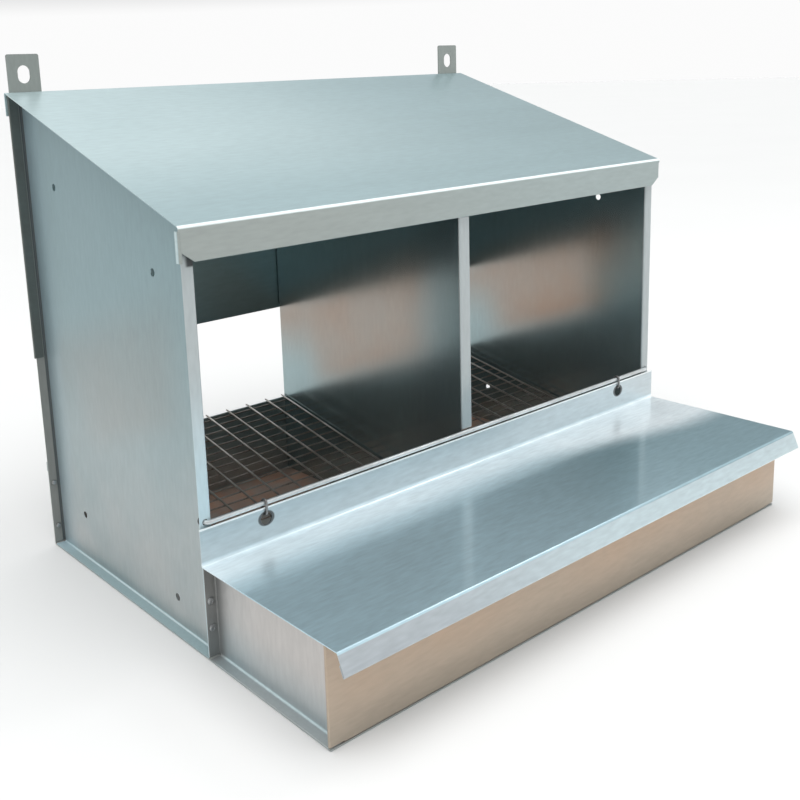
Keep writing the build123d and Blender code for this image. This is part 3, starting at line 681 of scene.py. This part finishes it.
rivet_finish = rivet_metal("rivet_aluminium")
tray_places = [(x, z) for x in (-rivet_x, rivet_x) for z in tray_heights]
rivet_row("tray_rivet_heads", "tray_rivets", tray_places, front_face - sheet, -1, 2 * sheet)
base_places = [(x, z) for x in (-rivet_x, rivet_x) for z in base_heights]
rivet_row("base_rivet_heads", "base_rivets", base_places, rear_face + sheet, 1, 2 * sheet)
divider_places = [(divider_rivet_x, z) for z in (*base_heights, *back_heights)]
rivet_row("divider_rivet_heads", "divider_rivets", divider_places, rear_face + sheet, 1, 2 * sheet)
hanger_places = [(x, hanger_rivet_z) for x in (-hanger_outer, -hanger_inner, hanger_inner, hanger_outer)]
hanger_grip = 2 * sheet + hanger_high.y - hanger_low.y
rivet_row("hanger_rivet_heads", "hanger_rivets", hanger_places, hanger_high.y, 1, hanger_grip)

# Stage: a wide pale floor just under the nest, a surrounding that is white at the horizon, dim above it and
# bright overhead, soft lights from the front, the left and above, and the camera at the photograph's angle.
span, floor_z = 20.0, -0.6 * mm
corners = [(x, y, floor_z) for x, y in ((-span, -span), (span, -span), (span, span), (-span, span))]
ground = bpy.data.meshes.new("studio_floor")
ground.from_pydata(corners, [], [(0, 1, 2, 3)])
floor_material, floor_place = new_material("pale_floor")
floor_tone = floor_place.cloud(1.5, 3.0).tint((0.60, 0.596, 0.59, 1.0), (0.62, 0.616, 0.61, 1.0))
finish_material(floor_place, {"Base Color": floor_tone, "Roughness": 0.9})
ground.materials.append(floor_material)
floor = bpy.data.objects.new("studio_floor", ground)
bpy.context.scene.collection.objects.link(floor)


def soft_light(name, place, aim, size, power):
    """A white rectangular light at place, turned to face aim."""
    light = bpy.data.lights.new(name, "AREA")
    light.shape, light.size, light.size_y = "RECTANGLE", *size
    light.energy = power
    lamp = bpy.data.objects.new(name, light)
    lamp.location = place
    lamp.rotation_euler = (Vector(aim) - Vector(place)).to_track_quat("-Z", "Y").to_euler()
    bpy.context.scene.collection.objects.link(lamp)


soft_light("front_light", place=(1.55, -1.65, 0.80), aim=(0.0, -0.15, 0.12), size=(3.0, 0.80), power=5.8)
soft_light("left_light", place=(-1.5, -0.1, 1.3), aim=(-0.45, 0.0, 0.0), size=(1.4, 1.0), power=3.0)
soft_light("edge_light", place=(1.43, -0.33, 1.9), aim=(0.0, 0.0, 0.3), size=(0.5, 0.5), power=4.0)
overhead = bpy.data.lights.new("overhead_light", "SUN")
overhead.energy, overhead.angle = 3.0, 1.2
lamp = bpy.data.objects.new("overhead_light", overhead)
lamp.rotation_euler = (0.20, -0.08, 0.0)
lamp.visible_glossy = False
bpy.context.scene.collection.objects.link(lamp)

world = bpy.data.worlds.new("studio_light")
world.use_nodes = True
world.node_tree.nodes.clear()
toward = Value(world.node_tree).node("ShaderNodeTexCoord", {}, {}, out="Generated")
lift = toward.axis("Z")
white, dusk, bright = (0.97, 0.97, 0.97), (0.14, 0.15, 0.155), (0.80, 0.83, 0.845)
sky = [(0.0, white), (0.06, white), (0.13, dusk), (0.34, dusk), (0.58, bright), (1.0, bright)]
dome = lift.node("ShaderNodeValToRGB", {"stops": sky}, {0: lift})
shell = dome.node("ShaderNodeBackground", {}, {"Color": dome, "Strength": 1.0})
shell.node("ShaderNodeOutputWorld", {}, {"Surface": shell}, out=None)
bpy.context.scene.world = world
bpy.context.scene.view_settings.view_transform = "Standard"

eye = (-0.67768, -0.71560, 0.45748)
turn, tilt, roll = 0.682734, 0.212737, -0.039139
ahead = Vector((np.cos(tilt) * np.sin(turn), np.cos(tilt) * np.cos(turn), -np.sin(tilt)))
right = Vector((np.cos(turn), -np.sin(turn), 0.0))
up = right.cross(ahead)
tilted_right = np.cos(roll) * right + np.sin(roll) * up
tilted_up = np.cos(roll) * up - np.sin(roll) * right
lens = bpy.data.cameras.new("camera")
lens.sensor_width, lens.lens = 36.0, 46.53
lens.shift_x, lens.shift_y = 0.0711, -0.1309
camera = bpy.data.objects.new("camera", lens)
axes = Matrix((tilted_right, tilted_up, -ahead)).transposed()
camera.matrix_world = Matrix.Translation(eye) @ axes.to_4x4()
bpy.context.scene.collection.objects.link(camera)
bpy.context.scene.camera = camera
